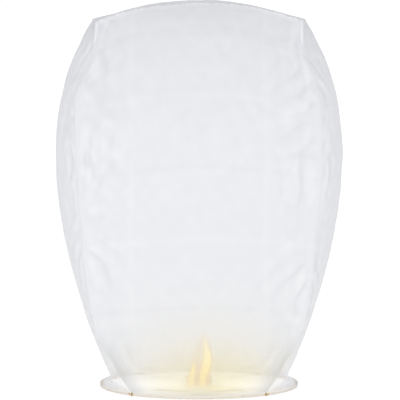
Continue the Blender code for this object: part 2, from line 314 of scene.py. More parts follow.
def ridges(height):
    """How far each grid point stands above the mean of the paper round it, in millimetres. The mean
    is taken over a square that reaches four points each way."""
    reach = 4
    kernel = np.ones(2 * reach + 1) / (2 * reach + 1)
    mean = height
    for axis in (0, 1):
        wide = [(reach, reach) if a == axis else (0, 0) for a in (0, 1)]
        padded = np.pad(mean, wide, mode="edge")
        mean = np.apply_along_axis(lambda line: np.convolve(line, kernel, mode="valid"), axis, padded)
    return height - mean


def painted_flame_glow(p):
    """Painted warm light from the flame on the paper, 0 to 1: full within 165 mm of its heart, then
    falling as a bell of 70 mm in the squared distance. The sides take none, and the lowest edge takes half."""
    beyond = np.sum((p - FLAME_HEART) ** 2, axis=-1) - 165.0**2
    bell = np.exp(-np.clip(beyond, 0, None) / (2 * 70.0**2))
    ahead = smooth(0.5, 0.9, np.abs(p[..., 1]) / MOUTH_RADIUS)
    return bell * ahead * (0.5 + 0.5 * smooth(8, 60, p[..., 2]))


def grid_faces(rows, columns, round_rows=False, round_columns=False):
    """Quads between neighbouring points of a grid, as point numbers."""
    r = np.arange(rows if round_rows else rows - 1)[:, None]
    c = np.arange(columns if round_columns else columns - 1)[None, :]
    next_r, next_c = (r + 1) % rows, (c + 1) % columns
    corners = (r * columns + c, r * columns + next_c, next_r * columns + next_c, next_r * columns + c)
    return np.stack(np.broadcast_arrays(*corners), axis=-1).reshape(-1, 4)


def tube_faces(rows, columns):
    """Quads round a tube whose rows are rings, and one flat face at each end."""
    quads = [list(f) for f in grid_faces(rows, columns, round_columns=True)]
    return quads + [list(range(columns))[::-1], list(range((rows - 1) * columns, rows * columns))]


def rounded_square(turn, power):
    """Across and up, -1 to 1, on a square with rounded corners: cosine and sine, each to a power
    below 1, with its sign."""
    return [np.sign(wave) * np.abs(wave) ** power for wave in (np.cos(turn), np.sin(turn))]


def new_object(name, data):
    obj = bpy.data.objects.new(name, data)
    bpy.context.scene.collection.objects.link(obj)
    return obj


def out_facing(obj):
    """Turns the faces of a closed piece outwards."""
    shape = bmesh.new()
    shape.from_mesh(obj.data)
    bmesh.ops.recalc_face_normals(shape, faces=shape.faces)
    shape.to_mesh(obj.data)
    shape.free()
    return obj


def mesh_piece(name, points, faces, material, body, stands_for=(), values=None):
    """A piece from points in millimetres and faces, with smooth shading, riding on its body. Values
    are point attributes for its material."""
    mesh = bpy.data.meshes.new(name)
    mesh.from_pydata((points.reshape(-1, 3) * MM).tolist(), [], [list(f) for f in faces])
    mesh.shade_smooth()
    for key, value in (values or {}).items():
        attribute = mesh.attributes.new(key, "FLOAT", "POINT")
        attribute.data.foreach_set("value", np.ravel(value).astype(np.float32))
    mesh.materials.append(material)
    obj = new_object(name, mesh)
    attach(obj, body)
    if stands_for:
        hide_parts(*stands_for)
    return obj


def linear(colour):
    """An sRGB hex colour as linear red, green, blue and alpha."""
    parts = [int(colour[i : i + 2], 16) / 255 for i in (1, 3, 5)]
    return (*[c / 12.92 if c <= 0.04045 else ((c + 0.055) / 1.055) ** 2.4 for c in parts], 1.0)


def add(tree, kind, inputs=None, **settings):
    """Adds a node: settings are its properties, inputs its sockets, each a value or another socket."""
    node = tree.nodes.new("ShaderNode" + kind)
    for key, value in settings.items():
        setattr(node, key, value)
    for key, value in (inputs or {}).items():
        if isinstance(value, bpy.types.NodeSocket):
            tree.links.new(value, node.inputs[key])
        else:
            node.inputs[key].default_value = value
    return node


def new_material(name):
    material = bpy.data.materials.new(name)
    material.use_nodes = True
    tree = material.node_tree
    tree.nodes.clear()
    return material, tree, add(tree, "OutputMaterial")


def ramp(tree, value, stops):
    """A colour ramp from (place, hex colour) pairs."""
    node = add(tree, "ValToRGB", {"Fac": value})
    while len(node.color_ramp.elements) < len(stops):
        node.color_ramp.elements.new(0.5)
    for element, (place, colour) in zip(node.color_ramp.elements, stops):
        element.position, element.color = place, linear(colour)
    return node.outputs["Color"]


def tissue_paper():
    """Bleached tissue paper, 18 grams a square metre, made flame-retardant. A single sheet scatters
    about half of the light back, lets a third through as a milky glow and a fifth straight through;
    doubled, it lets far less through, which the attribute layers gives as 0 to 1, and below 0 where
    it is stretched clear. Shade is painted into its colour: grey where gather is set, darker in the
    valleys of its wrinkles and lighter on their ridges (fold); the flame's warm light is painted on
    it too (glow). Its fibres lie in clouds 13 mm across, so it is faintly mottled. Fibres are drawn
    about 1.5 mm wide to show at all."""
    material, tree, output = new_material("bleached_tissue_paper")
    place = add(tree, "TexCoord").outputs["Object"]
    clouds = add(tree, "TexNoise", {"Vector": place, "Scale": 75.0, "Detail": 3.0, "Roughness": 0.6})
    colour = ramp(tree, clouds.outputs["Fac"], ((0.3, "#FCFDFD"), (0.7, "#FEFEFE")))
    strands = []
    for angle in (0.5, -0.9):
        mapped = add(tree, "Mapping", {"Vector": place, "Rotation": (0.3, angle, 0.2), "Scale": (1, 1, 0.12)})
        noise = add(tree, "TexNoise", {"Vector": mapped.outputs["Vector"], "Scale": 620.0, "Detail": 2.0})
        strands.append(noise.outputs["Fac"])
    fibres = add(tree, "Math", {0: strands[0], 1: strands[1]}, operation="ADD")
    bump = add(tree, "Bump", {"Height": fibres.outputs[0], "Strength": 0.35, "Distance": 0.15 * MM})
    layers, gather, glow, fold = [
        add(tree, "Attribute", attribute_name=name).outputs["Fac"]
        for name in ("layers", "gather", "glow", "fold")]
    # Painted shade and light: fold darkens the colour in the wrinkles' valleys and lightens it on their
    # ridges.
    fold_shade_share = add(tree, "MapRange", {0: fold, 1: -0.7, 2: 0.7, 3: 0.0, 4: 1.0})
    painted_fold_shade = ramp(tree, fold_shade_share.outputs[0], ((0.0, "#F1F2F4"), (0.5, "#F9F9FA"), (1.0, "#FFFFFF")))
    fold_shaded = add(tree, "Mix", {0: 1.0, 6: colour, 7: painted_fold_shade}, data_type="RGBA", blend_type="MULTIPLY")
    doubled = add(tree, "Mix", {0: layers, 6: fold_shaded.outputs[2], 7: linear("#FFFFFF")},
                  data_type="RGBA")
    # Painted shade: gather mixes the paper's colour towards grey.
    shaded = add(tree, "Mix", {0: gather, 6: doubled.outputs[2], 7: linear("#CDD0D6")},
                 data_type="RGBA")
    # Painted light: glow warms the paper's colour with the flame's light, on top of the flame's real light.
    painted_flame_warmth = add(tree, "Mix", {0: glow, 6: (1, 1, 1, 1), 7: linear("#FFF0A6")}, data_type="RGBA")
    tint = add(tree, "Mix", {0: 1.0, 6: shaded.outputs[2], 7: painted_flame_warmth.outputs[2]},
               data_type="RGBA", blend_type="MULTIPLY")
    front = add(tree, "BsdfPrincipled", {
        "Base Color": tint.outputs[2], "Roughness": 0.62, "IOR": 1.5, "Specular IOR Level": 0.35,
        "Normal": bump.outputs["Normal"]})
    through = add(tree, "BsdfTranslucent", {"Color": tint.outputs[2], "Normal": bump.outputs["Normal"]})
    passing = add(tree, "MapRange", {0: layers, 1: 0.5, 2: 1.0, 3: 0.4, 4: 0.12})
    body = add(tree, "MixShader", {0: passing.outputs[0], 1: front.outputs[0], 2: through.outputs[0]})
    clear = add(tree, "BsdfTransparent")
    open_share = add(tree, "MapRange", {0: layers, 1: 0.0, 2: 1.0, 3: 0.22, 4: 0.05}, clamp=False)
    mixed = add(tree, "MixShader", {0: open_share.outputs[0], 1: body.outputs[0], 2: clear.outputs[0]})
    tree.links.new(mixed.outputs[0], output.inputs["Surface"])
    return material


def split_bamboo():
    """Bamboo split to a strip and shaved. Pale straw with darker fibre bundles 0.4 mm apart, drawn
    1 mm, that run along the strip, and greyer rings at the nodes."""
    material, tree, output = new_material("split_bamboo")
    grain = add(tree, "Attribute", attribute_name="grain").outputs["Vector"]
    mapped = add(tree, "Mapping", {"Vector": grain, "Scale": (12, 900, 900)})
    noise = add(tree, "TexNoise", {"Vector": mapped.outputs[0], "Scale": 1.0, "Detail": 4.0})
    colour = ramp(tree, noise.outputs["Fac"], ((0.3, "#CBAC78"), (0.5, "#E0C89A"), (0.7, "#EEDDB8")))
    node_ring = add(tree, "Attribute", attribute_name="node").outputs["Fac"]
    ringed = add(tree, "Mix", {0: node_ring, 6: colour, 7: linear("#A98A5C")}, data_type="RGBA")
    bump = add(tree, "Bump", {"Height": noise.outputs["Fac"], "Strength": 0.5, "Distance": 0.2 * MM})
    shader = add(tree, "BsdfPrincipled", {
        "Base Color": ringed.outputs[2], "Roughness": 0.48, "IOR": 1.5, "Normal": bump.outputs[0]})
    tree.links.new(shader.outputs[0], output.inputs["Surface"])
    return material


def paper_tape():
    """Gummed kraft paper tape wound tight: matt tan with soft flecks and fine winding creases."""
    material, tree, output = new_material("gummed_paper_tape")
    place = add(tree, "TexCoord").outputs["Object"]
    flecks = add(tree, "TexNoise", {"Vector": place, "Scale": 900.0, "Detail": 3.0})
    colour = ramp(tree, flecks.outputs["Fac"], ((0.35, "#C9B48C"), (0.65, "#DECDA9")))
    bump = add(tree, "Bump", {"Height": flecks.outputs["Fac"], "Strength": 0.4, "Distance": 0.1 * MM})
    shader = add(tree, "BsdfPrincipled", {
        "Base Color": colour, "Roughness": 0.7, "IOR": 1.47, "Normal": bump.outputs[0]})
    tree.links.new(shader.outputs[0], output.inputs["Surface"])
    return material


def iron_wire():
    """Annealed iron binding wire: a dark grey scale from the furnace, rubbed to metal in places, with
    faint drawing lines along it."""
    material, tree, output = new_material("annealed_iron_wire")
    place = add(tree, "TexCoord").outputs["Object"]
    scale = add(tree, "TexNoise", {"Vector": place, "Scale": 400.0, "Detail": 4.0, "Roughness": 0.7})
    colour = ramp(tree, scale.outputs["Fac"], ((0.35, "#3B3835"), (0.6, "#5C5751"), (0.75, "#8A847C")))
    rough = add(tree, "MapRange", {0: scale.outputs["Fac"], 1: 0.3, 2: 0.7, 3: 0.62, 4: 0.36})
    bump = add(tree, "Bump", {"Height": scale.outputs["Fac"], "Strength": 0.4, "Distance": 0.05 * MM})
    shader = add(tree, "BsdfPrincipled", {
        "Base Color": colour, "Roughness": rough.outputs[0], "Metallic": 1.0, "Normal": bump.outputs[0]})
    tree.links.new(shader.outputs[0], output.inputs["Surface"])
    return material


def waxed_board():
    """Layers of corrugated paper soaked in paraffin wax: amber and half clear at the edges, with
    flutes 6 mm apart showing, and burnt brown where the flame sits."""
    material, tree, output = new_material("waxed_paperboard")
    place = add(tree, "TexCoord").outputs["Object"]
    blotches = add(tree, "TexNoise", {"Vector": place, "Scale": 120.0, "Detail": 4.0, "Roughness": 0.6})
    flutes = add(tree, "TexWave", {"Vector": place, "Scale": 52.0, "Distortion": 1.2, "Detail": 2.0})
    colour = ramp(tree, blotches.outputs["Fac"], ((0.3, "#C99A55"), (0.55, "#DDB877"), (0.75, "#EBD19C")))
    striped = add(tree, "Mix", {0: flutes.outputs["Fac"], 6: colour, 7: linear("#B98A4C")}, data_type="RGBA")
    char = add(tree, "Attribute", attribute_name="char").outputs["Fac"]
    patch = add(tree, "Math", {0: char, 1: blotches.outputs["Fac"]}, operation="MULTIPLY")
    strength = add(tree, "MapRange", {0: patch.outputs[0], 1: 0.22, 2: 0.5, 3: 0.0, 4: 1.0})
    burnt = add(tree, "Mix", {0: strength.outputs[0], 6: striped.outputs[2], 7: linear("#3A2415")},
                data_type="RGBA")
    bump = add(tree, "Bump", {"Height": flutes.outputs["Fac"], "Strength": 0.4, "Distance": 0.4 * MM})
    shader = add(tree, "BsdfPrincipled", {
        "Base Color": burnt.outputs[2], "Roughness": 0.38, "IOR": 1.44, "Normal": bump.outputs[0],
        "Subsurface Weight": 0.15, "Subsurface Radius": (1.0, 0.5, 0.25), "Subsurface Scale": 2 * MM})
    tree.links.new(shader.outputs[0], output.inputs["Surface"])
    return material


def flame_gas(name, low, high, strength, cover):
    """Burning wax vapour: it gives light and hides a part, cover, of what is behind it. Its colour
    goes from low, at a height of 12 mm, to high, at 60 mm."""
    material, tree, output = new_material(name)
    place = add(tree, "TexCoord").outputs["Object"]
    height = add(tree, "SeparateXYZ", {0: place}).outputs["Z"]
    share = add(tree, "MapRange", {0: height, 1: 12 * MM, 2: 60 * MM, 3: 0.0, 4: 1.0})
    colour = ramp(tree, share.outputs[0], ((0.0, low), (1.0, high)))
    light = add(tree, "Emission", {"Color": colour, "Strength": strength})
    clear = add(tree, "BsdfTransparent")
    mixed = add(tree, "MixShader", {0: cover, 1: clear.outputs[0], 2: light.outputs[0]})
    tree.links.new(mixed.outputs[0], output.inputs["Surface"])
    return material


PAPER = tissue_paper()
BAMBOO = split_bamboo()
TAPE = paper_tape()
IRON = iron_wire()
WAX = waxed_board()
FLAME_HALO = flame_gas("flame_halo", "#F08A20", "#FFC24A", 0.95, 0.26)
FLAME_OUTER = flame_gas("flame_mantle", "#F59A22", "#FFC840", 1.05, 0.45)
FLAME_INNER = flame_gas("flame_heart", "#FFE040", "#FFF569", 1.75, 0.92)


def squashed(obj):
    """Gives a paper piece a mesh of its own."""
    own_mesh(obj)
    return obj


def gore_tones(side, p, across, along, to_seam):
    """How doubled a gore looks at each point, and how much shade is painted on it (gather). It looks
    doubled at its top edge, under the crown's flap and at the laps, and above the hem, where the
    flap inside shows. Shade is painted over the top of every gore, and on the front and back gores
    in the pleats and at the knots, beside the seams' feet."""
    lapped = (1 - smooth(LAP - 6, LAP - 3, to_seam)) * 0.9 * smooth(688, 704, along)
    layers = np.maximum(lapped, 0.3 - 0.3 * smooth(FLAP - 2, FLAP, GORE_LENGTH - along))
    hem = HEM_FLAP * (1 - across**2)
    # Wax from the fuel has made the paper before the flame clearer.
    waxed = np.exp(-(((p[..., 0] - 4) / 30) ** 2))
    layers = np.maximum(layers, (0.92 - 0.72 * waxed) * (1 - smooth(hem + 10, hem + 46, along)))
    # Painted shade: the top of each gore is painted greyer, where less of the light from inside reaches it.
    gather = 0.17 * smooth(655, 725, along)
    if side in SIDE_GORES:  # pulled tight over the hoop, and so clearer
        return layers - 2.2 * (1 - smooth(15, 75, along)), gather
    # Painted shade on the front and back gores: grey in the pleats beside each seam low down, and at the
    # knots at the seams' feet.
    painted_pleat_shade = 0.55 * np.exp(-(((to_seam - 7) / 22) ** 2)) * (1 - smooth(40, 170, along))
    knot = 0.8 * np.exp(-((to_seam / 10) ** 2)) * (1 - smooth(6, 26, along))
    return layers, np.maximum(painted_pleat_shade, knot) + gather


def gore_lap(side, end, up):
    """The strip of a side gore beyond its seam at one end, -1 or 1: the neighbour's paper, wrinkles
    and all, just inside it."""
    neighbour = SIDES[(SIDES.index(side) + end) % 4]
    beyond = LAP_SHARES[None, :] * LAP + 0 * up
    share = 1 - beyond / half_width(neighbour, up)
    lap = paper(neighbour, -end * share, up + 0 * beyond, lift=-SHEET)
    return lap if end < 0 else lap[:, ::-1]


def make_gore(side):
    """One gore on a grid of about 3.5 mm. A side gore also has a lap at each seam, which
    lies just inside its neighbour's paper."""
    up, across = np.meshgrid(np.linspace(0, 1, GORE_ROWS), np.linspace(-1, 1, GORE_COLUMNS), indexing="ij")
    p = paper(side, across, up)
    to_seam = (1 - np.abs(across)) * half_width(side, up)
    # Painted shade and light: fold is how far the paper stands above its surroundings, drawn darker in
    # valleys and lighter on ridges.
    fold = ridges(paper_height(side, across, up)) * smooth(2, 16, to_seam)
    if side in SIDE_GORES:
        laps = [gore_lap(side, end, up[:, :1]) for end in (-1, 1)]
        p = np.concatenate([laps[0], p, laps[1]], axis=1)
        wide = ((0, 0), (len(LAP_SHARES), len(LAP_SHARES)))
        up, across, to_seam, fold = [np.pad(each, wide, mode="edge") for each in (up, across, to_seam, fold)]
    layers, gather = gore_tones(side, p, across, up * GORE_LENGTH, to_seam)
    obj = mesh_piece(
        f"gore_paper_{side}", p, grid_faces(*p.shape[:2]), PAPER, "rim",
        [f"gore_{side}"], {"layers": layers, "gather": gather, "glow": painted_flame_glow(p), "fold": fold})
    # The flat cut: the seam-to-seam width at each height, added up along the middle.
    width = 2 * half_width(side, np.linspace(0, 1, GORE_ROWS)) + (2 * LAP if side in SIDE_GORES else 0)
    make_hem(side)
    make_hem_flap(side)
    return squashed(obj)


def crown_surface(u, w):
    """The crown without wrinkles: its edges bow out and rise towards their middles, and its middle
    rises above them, both as parabolas. It is blown 2 mm above its cut height. u and w are -1 to 1."""
    bow = CROWN_EDGE[0] - CROWN_CORNER[0]
    rise = CROWN_EDGE[1] - CROWN_CORNER[1]
    dome = CROWN_HEIGHT + 2 - CROWN_CORNER[1] - 2 * rise
    x = u * (CROWN_CORNER[0] + bow * (1 - w * w))
    y = w * (CROWN_CORNER[0] + bow * (1 - u * u))
    z = CROWN_CORNER[1] + rise * (2 - u * u - w * w) + dome * (1 - u * u) * (1 - w * w)
    return np.stack([x, y, z], axis=-1)


def crown_paper_at(u, w):
    """The crown with its wrinkles and its packing folds: a valley from front to back and a ridge
    from side to side on each side of the middle."""
    p = crown_surface(u, w)
    inside = smooth(0, 0.12, 1 - np.maximum(np.abs(u), np.abs(w)))
    folds = -1.2 * np.exp(-np.abs(p[..., 0] - 2) / 15) + 0.9 * np.exp(-np.abs(p[..., 1] + 64) / 15)
    folds = folds + 0.9 * np.exp(-np.abs(p[..., 1] - 64) / 15)
    height = relief(p) + folds * inside
    return settled(p + outward(p) * height[..., None])


def make_crown():
    """The square top sheet, on a grid of about 4 mm, with a flap turned down over each gore."""
    shares = np.linspace(-1, 1, CROWN_COUNT)
    w, u = np.meshgrid(shares, shares, indexing="ij")
    points, faces = [crown_paper_at(u, w).reshape(-1, 3)], [grid_faces(CROWN_COUNT, CROWN_COUNT)]
    layers = [np.zeros(CROWN_COUNT**2)]
    # Painted shade and light: fold is how far the paper stands above its surroundings, drawn darker in
    # valleys and lighter on ridges.
    fold = [ridges(relief(crown_surface(u, w))).ravel()]
    inner = shares[2:-2]
    for number, side in enumerate(SIDES):
        border = {"front": (inner, -1 + 0 * inner), "right": (1 + 0 * inner, inner),
                  "back": (-inner, 1 + 0 * inner), "left": (-1 + 0 * inner, -inner)}[side]
        edge = crown_paper_at(*border)
        ragged = 1 + 0.12 * np.sin(7 * inner + number) + 0.08 * np.sin(23 * inner)
        depth = np.array([0.25, 0.5, 0.75, 1.0])[:, None] * FLAP * ragged
        hanging = paper(side, inner + 0 * depth, 1 - depth / GORE_LENGTH, lift=SHEET)
        strip = np.concatenate([hanging[::-1], edge[None]], axis=0)
        faces.append(grid_faces(*strip.shape[:2]) + sum(len(p) for p in points))
        points.append(strip.reshape(-1, 3))
        layers.append(np.repeat(FLAP_LAYERS, len(inner)))
        fold.append(np.zeros(len(FLAP_LAYERS) * len(inner)))
    points = np.concatenate(points)
    layers = np.concatenate(layers)
    obj = mesh_piece(
        "crown_paper", points, np.concatenate(faces), PAPER, "crown",
        ["crown_panel"], {"layers": layers, "gather": 0 * layers, "glow": painted_flame_glow(points),
                          "fold": np.concatenate(fold)})
    shape = bmesh.new()
    shape.from_mesh(obj.data)
    bmesh.ops.remove_doubles(shape, verts=shape.verts, dist=0.01 * MM)
    shape.to_mesh(obj.data)
    shape.free()
    # The edges bow out between the corners, so the cut sheet is 0.95 of the square round it.
    side = (2 * CROWN_EDGE[0] + 2 * FLAP) * MM
    return squashed(obj)


def make_hem(side):
    """The gore's lower edge, folded down the outside of the hoop, under it and up its inside: a
    profile with rounded folds carried round the hoop, with small gathers."""
    inner = HOOP_INNER - 0.9
    outer = MOUTH_RADIUS
    fold = curve_through([
        (outer, BASE), (outer - 0.2, 4.0), (outer - 0.5, 1.4), (outer - 1.4, 0.45), (outer - 2.4, 0.35),
        (inner + 0.9, 0.4), (inner + 0.1, 1.2), (inner - 0.2, 3.5), (inner - 0.6, 5.6), (inner - 1.4, BASE)])
    reach = landing(side) - math.degrees(7 / MOUTH_RADIUS)
    share = np.linspace(0, 1, 25)[:, None]
    angle = np.linspace(-reach, reach, 2 * round(reach * 1.6))[None, :]
    section = fold(share + 0 * angle)
    gathers = 0.22 * np.sin(angle * 1.9 + 2 * share) + 0.16 * np.sin(angle * 4.3 + 1.3 + 5 * share)
    free = np.sin(math.pi * share) ** 2
    bend = 187.4  # outside this radius the gathers stand outwards, and inside it inwards
    radius = section[..., 0] + gathers * free * np.where(section[..., 0] > bend, 1, -1)
    p = turned(polar(radius, angle + 0 * share, section[..., 1]), 90 * SIDES.index(side))
    shape = p.shape[:2]
    faces = grid_faces(*shape)[:, ::-1]
    return mesh_piece(f"hem_{side}_wrap", p, faces, PAPER, "rim", [f"hem_{side}"],
                      {"layers": np.full(shape, 0.5), "gather": np.zeros(shape), "glow": 0.5 * painted_flame_glow(p)})


def make_hem_flap(side):
    """What is left of the straight cut edge above the hoop: a strip glued up the inside of the gore,
    a parabola 22 mm tall in the middle and 4 mm near the seams, 9 mm short of them."""
    reach = 1 - 9 / half_width(side, np.array(0.0))
    rows, columns, low = 9, 91, 4.0
    across = np.linspace(-reach, reach, columns)[None, :] + np.zeros((rows, 1))
    share = np.linspace(0, 1, rows)[:, None] + 0 * across
    ragged = 1 + 0.05 * np.sin(9 * across) + 0.04 * np.sin(31 * across + 1)
    tall = low + (HEM_FLAP - low) * (1 - (across / reach) ** 2) * ragged
    up = (5.5 + share * tall) / GORE_LENGTH
    on_gore = paper(side, across, up, lift=-SHEET)
    start = turned(polar(HOOP_INNER - 2.3, across * landing(side), BASE), 90 * SIDES.index(side))
    join = smooth(0, 0.35, share)[..., None]
    p = start * (1 - join) + on_gore * join
    obj = mesh_piece(f"hem_{side}_flap", p, grid_faces(rows, columns), PAPER, "rim", (),
                     {"layers": 0.3 + 0 * across, "gather": 0 * across, "glow": painted_flame_glow(p)})
    return squashed(obj)


def make_bamboo():
    """The strip: a rounded rectangle carried round the mouth, a little more than once. Both ends
    are pared down where they lie on each other, and four nodes swell by 0.2 mm, as bells 2.2 mm
    wide along the strip."""
    splice = math.degrees(SPLICE_LENGTH / HOOP_OUTER)
    thin, gain = 0.8, 0.7  # a pared end's thickness, and what it gains along the splice
    start, full = 180 - splice / 2, 360 + splice
    angle = np.linspace(0, full, 620)[:, None]
    first = np.clip(angle / splice, 0, 1)
    last = np.clip((angle - 360) / splice, 0, 1)
    inner = np.where(angle < splice, HOOP_OUTER - thin - gain * first, HOOP_INNER)
    outer = np.where(angle > 360, HOOP_OUTER - thin - gain * last - GAP, HOOP_OUTER)
    degree = math.radians(HOOP_OUTER)  # millimetres along the strip
    knot = sum(np.exp(-(((angle - at) * degree / 2.2) ** 2)) for at in (41, 127, 214, 303))
    corner = np.linspace(0, 2 * math.pi, 20, endpoint=False)[None, :]
    shape_x, shape_z = rounded_square(corner, 0.28)
    shave = 0.05 * np.sin(angle * 0.9 + 2 * shape_z)
    radius = (inner + outer) / 2 + ((outer - inner) / 2 + 0.2 * knot + shave) * shape_x
    height = HOOP_MIDDLE + ((HOOP_TOP - HOOP_BOTTOM) / 2 + 0.15 * knot) * shape_z
    p = polar(radius, start + angle + 0 * corner, height)
    obj = mesh_piece("bamboo_strip", p, tube_faces(*p.shape[:2]), BAMBOO, "rim",
                     ["bamboo_hoop"], {"node": np.clip(0 * radius + knot, 0, 1)})
    line = 188.0  # radius of the line along which the grain is measured
    grain = np.stack([np.radians(angle) * line + 0 * radius, radius - line, height], axis=-1) * MM
    attribute = obj.data.attributes.new("grain", "FLOAT_VECTOR", "POINT")
    attribute.data.foreach_set("vector", grain.astype(np.float32).ravel())
    return out_facing(obj)


def make_tape(number, degrees):
    """A tight band round the scarf: a rounded rectangle carried 10 mm along the hoop, out on its
    outer side and back on its inner one. The end of the winding shows as a low step."""
    half = math.degrees(5 / HOOP_OUTER)
    along = np.linspace(-half, half, 15)[:, None]
    turn = np.linspace(0, 2 * math.pi, 56, endpoint=False)[None, :]
    inner, outer = HOOP_INNER - TAPE_WALL, HOOP_OUTER + TAPE_WALL
    bottom, top = HOOP_BOTTOM - TAPE_WALL, HOOP_TOP + TAPE_WALL
    shape_x, shape_z = rounded_square(turn, 0.35)
    step = 0.12 * smooth(0, 0.4, turn - 1.2 - 0.2 * np.sin(along * 3)) * smooth(0, 2.0, 6.0 - turn)
    crease = 0.05 * np.sin(along * 9 + 3 * turn)
    radius = (inner + outer) / 2 + ((outer - inner) / 2 + step + crease) * shape_x
    height = (bottom + top) / 2 + ((top - bottom) / 2 + step + crease) * shape_z
    shell = polar(radius, degrees + along + 0 * turn, height)
    centre = polar((inner + outer) / 2, degrees + along + 0 * turn, HOOP_MIDDLE)
    inside = centre + (shell - centre) * 0.86
    p = np.concatenate([shell, inside[::-1]], axis=0)
    faces = grid_faces(*p.shape[:2], round_rows=True, round_columns=True)
    return out_facing(mesh_piece(f"tape_band_{number}", p, faces, TAPE, "rim",
                                 [f"splice_tape_{number}"]))


def sweep(path, radius, sides=12, blunt=0.35):
    """A round wire: a circle carried along a path, square to it, with rounded ends. The circle's
    first direction is carried along without twist."""
    path = np.asarray(path, float)
    way = np.gradient(path, axis=0)
    way /= np.linalg.norm(way, axis=1, keepdims=True)
    first = np.zeros_like(path)
    first[0] = np.cross(way[0], (0.31, 0.17, 0.93))
    for i in range(1, len(path)):
        first[i] = first[i - 1] - way[i] * (first[i - 1] @ way[i])
        first[i] /= np.linalg.norm(first[i])
    first[0] /= np.linalg.norm(first[0])
    second = np.cross(way, first)
    turn = np.linspace(0, 2 * math.pi, sides, endpoint=False)[None, :, None]
    size = np.broadcast_to(radius, (len(path),)).astype(float)[:, None, None]
    ring = path[:, None] + size * (np.cos(turn) * first[:, None] + np.sin(turn) * second[:, None])
    ends = []
    for end, sign in ((0, -1), (-1, 1)):
        cap = path[end] + way[end] * sign * size[end, 0, 0] * blunt
        ends.append(cap + (ring[end] - path[end]) * 0.6)
    p = np.concatenate([ends[0][None], ring, ends[1][None]], axis=0)
    return p, tube_faces(*p.shape[:2])


def wire_end():
    """Half of a cross wire, as a path: from near the middle over the hoop, round it, and coiled on
    itself four times."""
    reach = WIRE + GAP
    near, far = HOOP_INNER - reach, HOOP_OUTER + reach
    low, high = HOOP_BOTTOM - reach, HOOP_TOP + reach
    coil, level = 2 * WIRE + 0.2, HOOP_MIDDLE
    coil_start = near - 2
    loop = curve_through([
        (coil_start + 0.2, 0, level), (near - 0.5, 0, level + 0.8), (near, 0, level + 1.7),
        (near, 0, high - 0.7), (near + 0.7, 0, high), (far - 0.7, 0, high), (far, 0, high - 0.7),
        (far, 0, low + 0.7), (far - 0.7, 0, low), (near + 0.7, 0, low), (near, 0, low + 0.7),
        (near - 0.6, 0, level - 1.9), (near - 1.3, 0, level - 1.3), (coil_start, 0, level - coil)])
    around = np.linspace(0, 1, 71)
    angle = -math.pi / 2 + 2 * math.pi * COIL_TURNS * around
    turns = np.stack([coil_start - 5 * around, coil * np.cos(angle), level + coil * np.sin(angle)], axis=-1)
    straight = np.linspace((8, 0, level), (coil_start, 0, level), 30)[:-1]
    return np.concatenate([straight, loop(np.linspace(0, 1, 90)), turns[1:]])


def make_cross_wire(name, azimuth, rise):
    """One wire from side to side; its middle humps by rise over the other wire, and it waves by
    half a millimetre as hand-straightened wire does."""
    end = wire_end()
    x = np.linspace(-8, 8, 25)[1:-1]
    hump = rise * (1 - smooth(1.6, 7, np.abs(x)))
    middle = np.stack([x, 0 * x, HOOP_MIDDLE + hump], axis=-1)
    path = np.concatenate([turned(end[::-1], 180), middle, end])
    calm = smooth(5, 30, np.abs(path[:, 0])) * smooth(5, 25, 178 - np.abs(path[:, 0]))
    path[:, 1] += 0.5 * calm * np.sin(path[:, 0] / 17) + 0.3 * calm * np.sin(path[:, 0] / 7.3)
    p, faces = sweep(turned(path, azimuth), WIRE)
    return out_facing(mesh_piece(f"{name}_drawn", p, faces, IRON, "rim", [name]))


def make_tie():
    """The hairpin that holds the fuel: two prongs through the cell, bent a little apart at the top."""
    bottom = HOOP_MIDDLE - WIRE - 0.6 - TIE
    tip = FUEL_TOP + 8
    half = [(1.3, 0, bottom), (1.9, 0, bottom + 0.25), (2.2, 0, bottom + 0.9), (2.2, 0, tip - 8),
            (2.2, 0.1, tip - 4), (2.6, 0.3, tip)]
    loop = [(-x, -y, z) for x, y, z in half[::-1]] + [(0, 0, bottom)] + half
    p, faces = sweep(curve_through(loop)(np.linspace(0, 1, 120)), TIE)
    return out_facing(mesh_piece("fuel_hairpin", p, faces, IRON, "rim", ["fuel_tie"]))


def make_fuel_layer(number):
    """A rounded square sheet with a hole: a closed profile, up the hole, out over the top, down the
    outer edge and back underneath, carried round. The square is a superellipse with power 14, its
    edge is torn by half a millimetre, and the sheet waves slightly."""
    bottom = FUEL_BOTTOM + (number - 1) * FUEL_STEP
    angle = np.linspace(0, 2 * math.pi, 181)[:-1][:, None]
    power = 14
    square = FUEL_SIDE / 2 / (np.cos(angle) ** power + np.sin(angle) ** power) ** (1 / power)
    rim = np.concatenate([60 * np.cos(angle), 60 * np.sin(angle), 0 * angle + 40 * number], axis=1)
    torn = 0.5 * hills(rim, 14, 70 + number)[:, None]
    outer = square + np.minimum(torn, 0.4) - 0.5
    out = np.concatenate([np.zeros(2), np.linspace(0.0, 1, 14)[1:], [1.012, 1.012, 1.0],
                          np.linspace(1, 0, 14)[1:-1]])[None, :]
    lift = np.concatenate([[0.12, 0.88], np.ones(12), [0.96], [0.75, 0.3, 0.04], np.zeros(12)])[None, :]
    radius = FUEL_HOLE + (outer - FUEL_HOLE) * out
    x, y = radius * np.cos(angle), radius * np.sin(angle)
    sag = 0.12 * np.sin(x / 9 + number) * np.sin(y / 8 + 2 * number)
    z = bottom + 0.06 + (FUEL_LAYER - 0.12) * lift + sag * smooth(5, 15, radius)
    p = turned(np.stack([x, y, z], axis=-1), math.degrees(0.021 * math.sin(2.1 * number)))
    char = (1.0 if number == FUEL_LAYERS else 0.35) * (1 - 0.5 * smooth(8, 24, radius)) + 0 * z
    faces = grid_faces(*p.shape[:2], round_rows=True, round_columns=True)
    return out_facing(mesh_piece(f"waxed_layer_{number}", p, faces, WAX, "fuel_cell",
                                 [f"fuel_layer_{number}"], {"char": char}))


